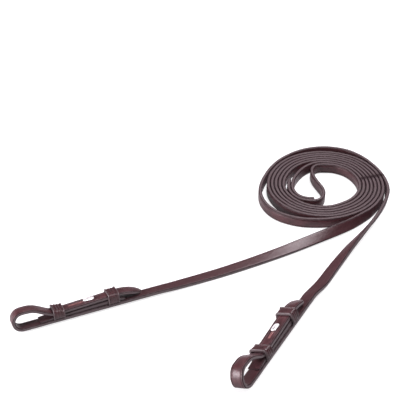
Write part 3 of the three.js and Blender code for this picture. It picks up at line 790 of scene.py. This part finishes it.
def build_keeper(side, which):
    """Band round the end, with rounded rims and three low ridges between them."""
    start, stop = KEEPER_S[which] - KEEPER_L / 2, KEEPER_S[which] + KEEPER_L / 2
    top, bottom, half = billet_z(stop) + END_T / 2 + 0.33, KEEPER_BOTTOM, KEEPER_HALF
    path, normals = keeper_path(top)
    y, z = path.T
    n = len(path)
    girth = np.r_[0, np.cumsum(np.linalg.norm(np.diff(path, axis=0), axis=1))] / UV_MM + 3

    rim_steps, rim_width = RIM[:-1, 0], RIM[-1, 0]
    x = np.concatenate([rim_steps, np.linspace(rim_width, KEEPER_L - rim_width, 41),
                        KEEPER_L - rim_steps[::-1]])
    border = np.minimum(x, KEEPER_L - x)
    ridges = 0.80 + 0.12 * np.cos(2 * math.pi * (x - rim_width) / (KEEPER_L - 2 * rim_width) * 3)
    share = np.where(border < rim_width, np.interp(border, *RIM.T), ridges)

    # the part between lining and rein is skived thin, and the sides thicken up from it
    thin = np.where(z < bottom + 1e-6, 0.36, 1.0)
    thin = np.where((np.abs(y) > half - 1e-6) & (z < bottom + 1.0),
                    0.62 + 0.38 * (z - bottom), thin)
    # a nub on the upper +y corner at the far rim, and bulging sides
    nub = np.exp(-(((y - half + 0.2) ** 2 + (z - top) ** 2) / 1.3))
    height = np.clip((z - bottom) / (top - bottom), 0, 1)
    bulge = np.where(np.abs(normals[:, 0]) > 0.99, np.sin(math.pi * height) ** 1.5, 0.0)

    rings, edge, uv = [], [], []

    def ring(xi, section, edge_value, v):
        rings.append(np.c_[np.full(n, start + xi), section])
        edge.append(np.full(n, edge_value))
        uv.append(np.c_[girth, np.full(n, v / UV_MM)])

    for xi, thickness, d in zip(x, KEEPER_T * share, border):
        out = thickness * thin + 0.34 * bulge
        if KEEPER_L - xi < 1.2:
            out = out + 0.38 * nub
        section = path + normals * out[:, None]
        # keep the +y bottom corner joined to the thin strip
        section[0] = (half + thickness * 0.62, bottom - 0.05)
        ring(xi, section, 1.0 if d < 0.6 else (0.45 if d < 1.0 else 0.0), xi)
    for xi, edge_value in ((KEEPER_L, 0.6), (KEEPER_L * 0.5, 0.0), (0.0, 0.6)):
        ring(xi, path, edge_value, xi + 20)            # back along the inside
    points = np.concatenate(rings)
    if which == "loop":                                # stands higher towards the nose
        points[:, 2] += (KEEPER_RISE * (stop - points[:, 0]) / KEEPER_L
                         * np.maximum(0, points[:, 2] - bottom) / 7.7)
    ob = make(f"{side}_{which}_keeper_band", place(side, points),
              loft_faces(len(rings), n, closed=True), KEEPER_LEATHER,
              {"edge": np.concatenate(edge), "flesh": np.zeros(len(points))},
              np.concatenate(uv), sharp_angle=55)
    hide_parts(f"{side}_{which}_keeper")
    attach(ob, f"{side}_bit_end")


# ------------------------------------------------------------------ hook studs
PLATE_BACK, PLATE_FRONT, PLATE_R = 8.2, 2.8, 2.45      # reach from the neck, end radius
# the pit's dark colour is painted shade, set through the stud's edge attribute
DIMPLE = (STUD_S - PLATE_FRONT + 2.3, 0.15)            # small dark pit in the plate: s, y


def stadium(z, x, half_length, radius_x, radius_y, count):
    """Ring of points at height z: two half ellipses joined by straight sides."""
    ring = []
    for j in range(count):
        a = 2 * math.pi * j / count
        shift = half_length if math.cos(a) >= 0 else -half_length
        ring.append((x + shift + radius_x * math.cos(a), radius_y * math.sin(a), z))
    return np.array(ring)


def from_dimple(ring):
    """Squared distance from the dimple."""
    return (ring[:, 0] - DIMPLE[0]) ** 2 + (ring[:, 1] - DIMPLE[1]) ** 2


def plate_rings(z):
    """Domed plate over the billet, from the middle of its underside to the middle of its top."""
    middle = STUD_S + (PLATE_BACK - PLATE_FRONT) / 2
    half = (PLATE_BACK + PLATE_FRONT) / 2 - PLATE_R

    def ring(share, height):
        return stadium(height, middle, half, PLATE_R * share, PLATE_R * share, 48)

    rings = [ring(0.02, z), ring(0.86, z), ring(0.97, z + 0.12)]
    for share in (1.0, 0.985, 0.95, 0.88, 0.78, 0.66, 0.54, 0.42, 0.3, 0.18, 0.06):
        dome = ring(share, z + 0.85 + 0.5 * math.sqrt(1 - share * share))
        dome[:, 2] -= 0.7 * np.exp(-from_dimple(dome) / 0.5)
        rings.append(dome)
    return rings


def build_stud(side):
    plate_z = billet_z(STUD_S + PLATE_BACK) + END_T / 2 + GAP
    base_top = float(lining_top(STUD_S)) + 0.12
    base_bottom = base_top - 0.6
    foot, head = base_top - 0.3, plate_z + 0.35
    neck = [stadium(z, STUD_S, 0, 1.1 * k, 0.33 * k, 20) for z, k in
            ((foot, 1.1), (foot + 0.25, 1.1), (foot + 0.7, 1.0), (head - 0.6, 1.0), (head, 1.25))]
    # base plate let into the lining under the billet
    base = [stadium(z, STUD_S + 1.5, 4.0, 3.0 * k, 3.0 * k, 36) for z, k in
            ((base_bottom, 0.98), (base_bottom + 0.15, 1.0), (base_top - 0.15, 1.0),
             (base_top, 0.95))]
    points, faces = np.empty((0, 3)), []
    for rings in (plate_rings(plate_z), neck, base):
        faces += loft_faces(len(rings), len(rings[0]), first=len(points))
        points = np.concatenate([points, *rings])
    # painted shade in the pit of the plate, carried by the edge attribute
    dark = np.where(points[:, 2] > plate_z + 0.5, 0.9 * np.exp(-from_dimple(points) / 0.45), 0.0)
    ob = make(f"{side}_hook_stud_metal", place(side, points), faces, STEEL, {"edge": dark},
              sharp_angle=35)
    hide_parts(f"{side}_hook_stud")
    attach(ob, f"{side}_bit_end")


# ------------------------------------------------------------------ stitches
def make_stitches(name, node, carrier, stitches, radius):
    """One thread per (start, end, up), arched between its holes and sunk at both."""
    around, rings = 8, 7
    points, faces, uv = [], [], []
    for start, end, up in stitches:
        length = np.linalg.norm(end - start)
        across = unit(np.cross((end - start) / length, up))
        first = len(points)
        for i in range(rings):
            u = i / (rings - 1)
            swell = math.sin(math.pi * min(max(u, 0.04), 0.96)) ** 0.5
            r = radius * (0.35 + 0.65 * swell)
            lift = radius * 0.75 * math.sin(math.pi * u) - radius * 0.35
            centre = start + (end - start) * u + up * lift
            for j in range(around):
                a = 2 * math.pi * j / around
                points.append(centre + across * r * math.cos(a) + up * r * math.sin(a))
                uv.append((length * u / UV_MM, j / around * 0.02))
        for i in range(rings - 1):
            for j in range(around):
                a, b = first + i * around + j, first + i * around + (j + 1) % around
                faces.append((a, a + around, b + around, b))
        last = first + (rings - 1) * around
        faces.append(tuple(range(first, first + around)))
        faces.append(tuple(reversed(range(last, last + around))))
    ob = make(name, points, faces, THREAD, {}, uv)
    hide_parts(node)
    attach(ob, carrier)


def build_lap_stitches(row, z):
    """Row of stitches on the lap's face towards the coil's centre."""
    length, spacing, tilt = 2.45, 3.15, 0.16
    line = np.array(lap_line(LAP_OFFSET + STRAP_T / 2))
    arc = np.r_[0, np.cumsum(np.linalg.norm(np.diff(line, axis=0), axis=1))]

    def at(s):
        return np.array([np.interp(s, arc, line[:, 0]), np.interp(s, arc, line[:, 1])])

    stitches = []
    s = 1.6
    while s + 2.5 < arc[-1] - 1.2:
        start, end = at(s), at(s + length)
        t = unit(end - start)
        stitches.append((np.r_[start - ORIGIN, z - tilt], np.r_[end - ORIGIN, z + tilt],
                         np.array([-t[1], t[0], 0])))
        s += spacing
    make_stitches(f"lap_thread_{row}", f"lap_stitch_{row}", "reins", stitches, 0.36)


def build_end_stitches(side, which, y):
    """Row of stitches along the top of the lining."""
    length, spacing, skew, sink = 2.35, 3.0, 0.12, 0.18
    up = unit(axis(side, (0, 0, 1)))
    stitches = []
    s = 50.0
    while s < 88.5:
        start = place(side, (s, y - skew, lining_top(s) - sink))
        end = place(side, (s + length, y + skew, lining_top(s + length) - sink))
        stitches.append((start, end, up))
        s += spacing
    make_stitches(f"{side}_thread_{which}", f"{side}_stitch_{which}", f"{side}_bit_end",
                  stitches, 0.30)


build_rein("left", left_rows())
build_rein("right", right_rows())
for side in ENDS:
    build_loop(side)
    build_billet(side)
    build_lining(side)
    build_keeper(side, "loop")
    build_keeper(side, "tip")
    build_stud(side)
    build_end_stitches(side, "inner", 4.6)
    build_end_stitches(side, "outer", -4.6)
build_lap_stitches("lower", 3.0)
build_lap_stitches("upper", 9.0)


# ------------------------------------------------------------------ floor, light, camera (metres)
def build_floor():
    """Backlit paper: bright to the lens, subdued in what it throws on the leather."""
    material, nodes, surface = new_material("pale_floor")
    seen = nodes.add("LightPath").outputs["Is Camera Ray"]
    nodes.fill(surface, {
        "Base Color": (0.36, 0.36, 0.363, 1), "Roughness": 0.85, "Emission Color": (1, 1, 1, 1),
        "Emission Strength": nodes.remap(seen, 0.0, 1.0, to_low=0.04, to_high=0.72)})
    bpy.ops.mesh.primitive_plane_add(size=14, location=(0, 2.0, -0.0006))
    ob = bpy.context.object
    ob.name = "floor"
    ob.data.materials.append(material)


def area_light(name, location, target, size, power):
    light = bpy.data.lights.new(name, "AREA")
    light.shape = "RECTANGLE"
    light.size, light.size_y = size
    light.energy = power
    light.color = (1.0, 0.93, 0.98)
    ob = bpy.data.objects.new(name, light)
    bpy.context.scene.collection.objects.link(ob)
    ob.location = location
    aim = Vector(np.array(target) - np.array(location))
    ob.rotation_euler = aim.to_track_quat("-Z", "Y").to_euler()


def build_world():
    """Dim studio surround, brighter overhead."""
    world = bpy.data.worlds.new("studio")
    bpy.context.scene.world = world
    world.use_nodes = True
    nodes = Nodes(world.node_tree)
    direction = nodes.add("TexCoord").outputs["Generated"]
    height = nodes.add("SeparateXYZ", {0: direction}).outputs["Z"]
    strength = nodes.remap(height, 0.15, 0.95, to_low=0.012, to_high=0.15,
                           interpolation_type="SMOOTHSTEP")
    nodes.fill(world.node_tree.nodes["Background"], {0: (1, 0.99, 0.99, 1), 1: strength})


def build_camera():
    data = bpy.data.cameras.new("camera")
    data.lens, data.sensor_width, data.sensor_fit = 90, 36, "HORIZONTAL"
    data.clip_start, data.clip_end = 0.01, 50
    camera = bpy.data.objects.new("camera", data)
    bpy.context.scene.collection.objects.link(camera)
    elevation, distance = math.radians(35.5), 1.1236
    aim_x, aim_y = -(ORIGIN + (139.5, 14.0)) / 1000
    camera.location = (aim_x, aim_y - distance * math.cos(elevation),
                       distance * math.sin(elevation))
    camera.rotation_euler = (math.pi / 2 - elevation, 0, 0)
    bpy.context.scene.camera = camera


build_floor()
area_light("key_overhead", location=(0.36, -0.02, 1.32), target=(0.0, 0.0, 0),
           size=(1.2, 0.85), power=38)
area_light("back_soft", location=(-0.1, 1.7, 1.25), target=(0.0, 0.0, 0),
           size=(1.8, 0.8), power=1.5)
area_light("fill_left_low", location=(-1.10, -0.62, 0.42), target=(0.02, -0.08, 0),
           size=(1.0, 0.75), power=38)
build_world()
bpy.context.scene.view_settings.view_transform = "Standard"
build_camera()
